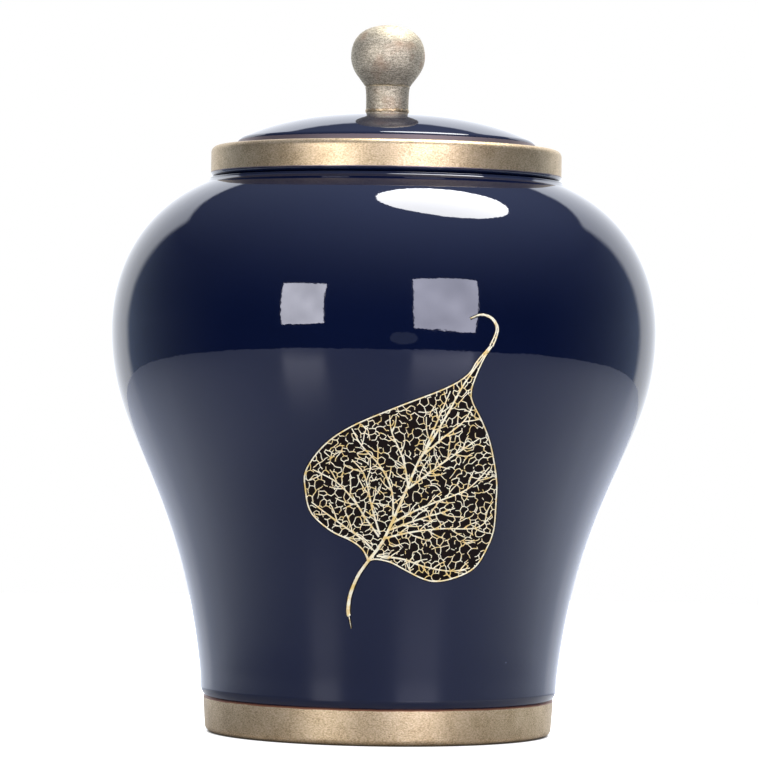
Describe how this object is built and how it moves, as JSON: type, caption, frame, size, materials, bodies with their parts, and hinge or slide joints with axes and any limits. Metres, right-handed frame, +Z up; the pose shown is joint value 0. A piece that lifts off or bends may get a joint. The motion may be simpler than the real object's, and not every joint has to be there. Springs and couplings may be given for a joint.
{
  "type": "funeral urn",
  "caption": "High-shouldered lidded ceramic urn in dark glossy glaze, with gilt bands at foot and lid rim, a raised gold leaf on its front and a turned ball knob on the lid.",
  "frame": {"origin": "centre of the circle that the foot ring stands on", "axes": "+Z up along the axis of revolution; the leaf faces -Y; +X is to the right of someone who looks at the leaf"},
  "size_m": [0.2, 0.2, 0.2599],
  "materials": {
    "navy_glaze": "high-gloss navy glaze; foot band and lid rim brushed over with satin champagne-gold paint",
    "gold_paint": "raised satin gold relief lines of the leaf",
    "brushed_brass": "turned and brushed, lightly aged"
  },
  "bodies": {
    "root": {"jar": "navy_glaze", "lid": "navy_glaze", "knob": "brushed_brass"}
  },
  "joints": []
}
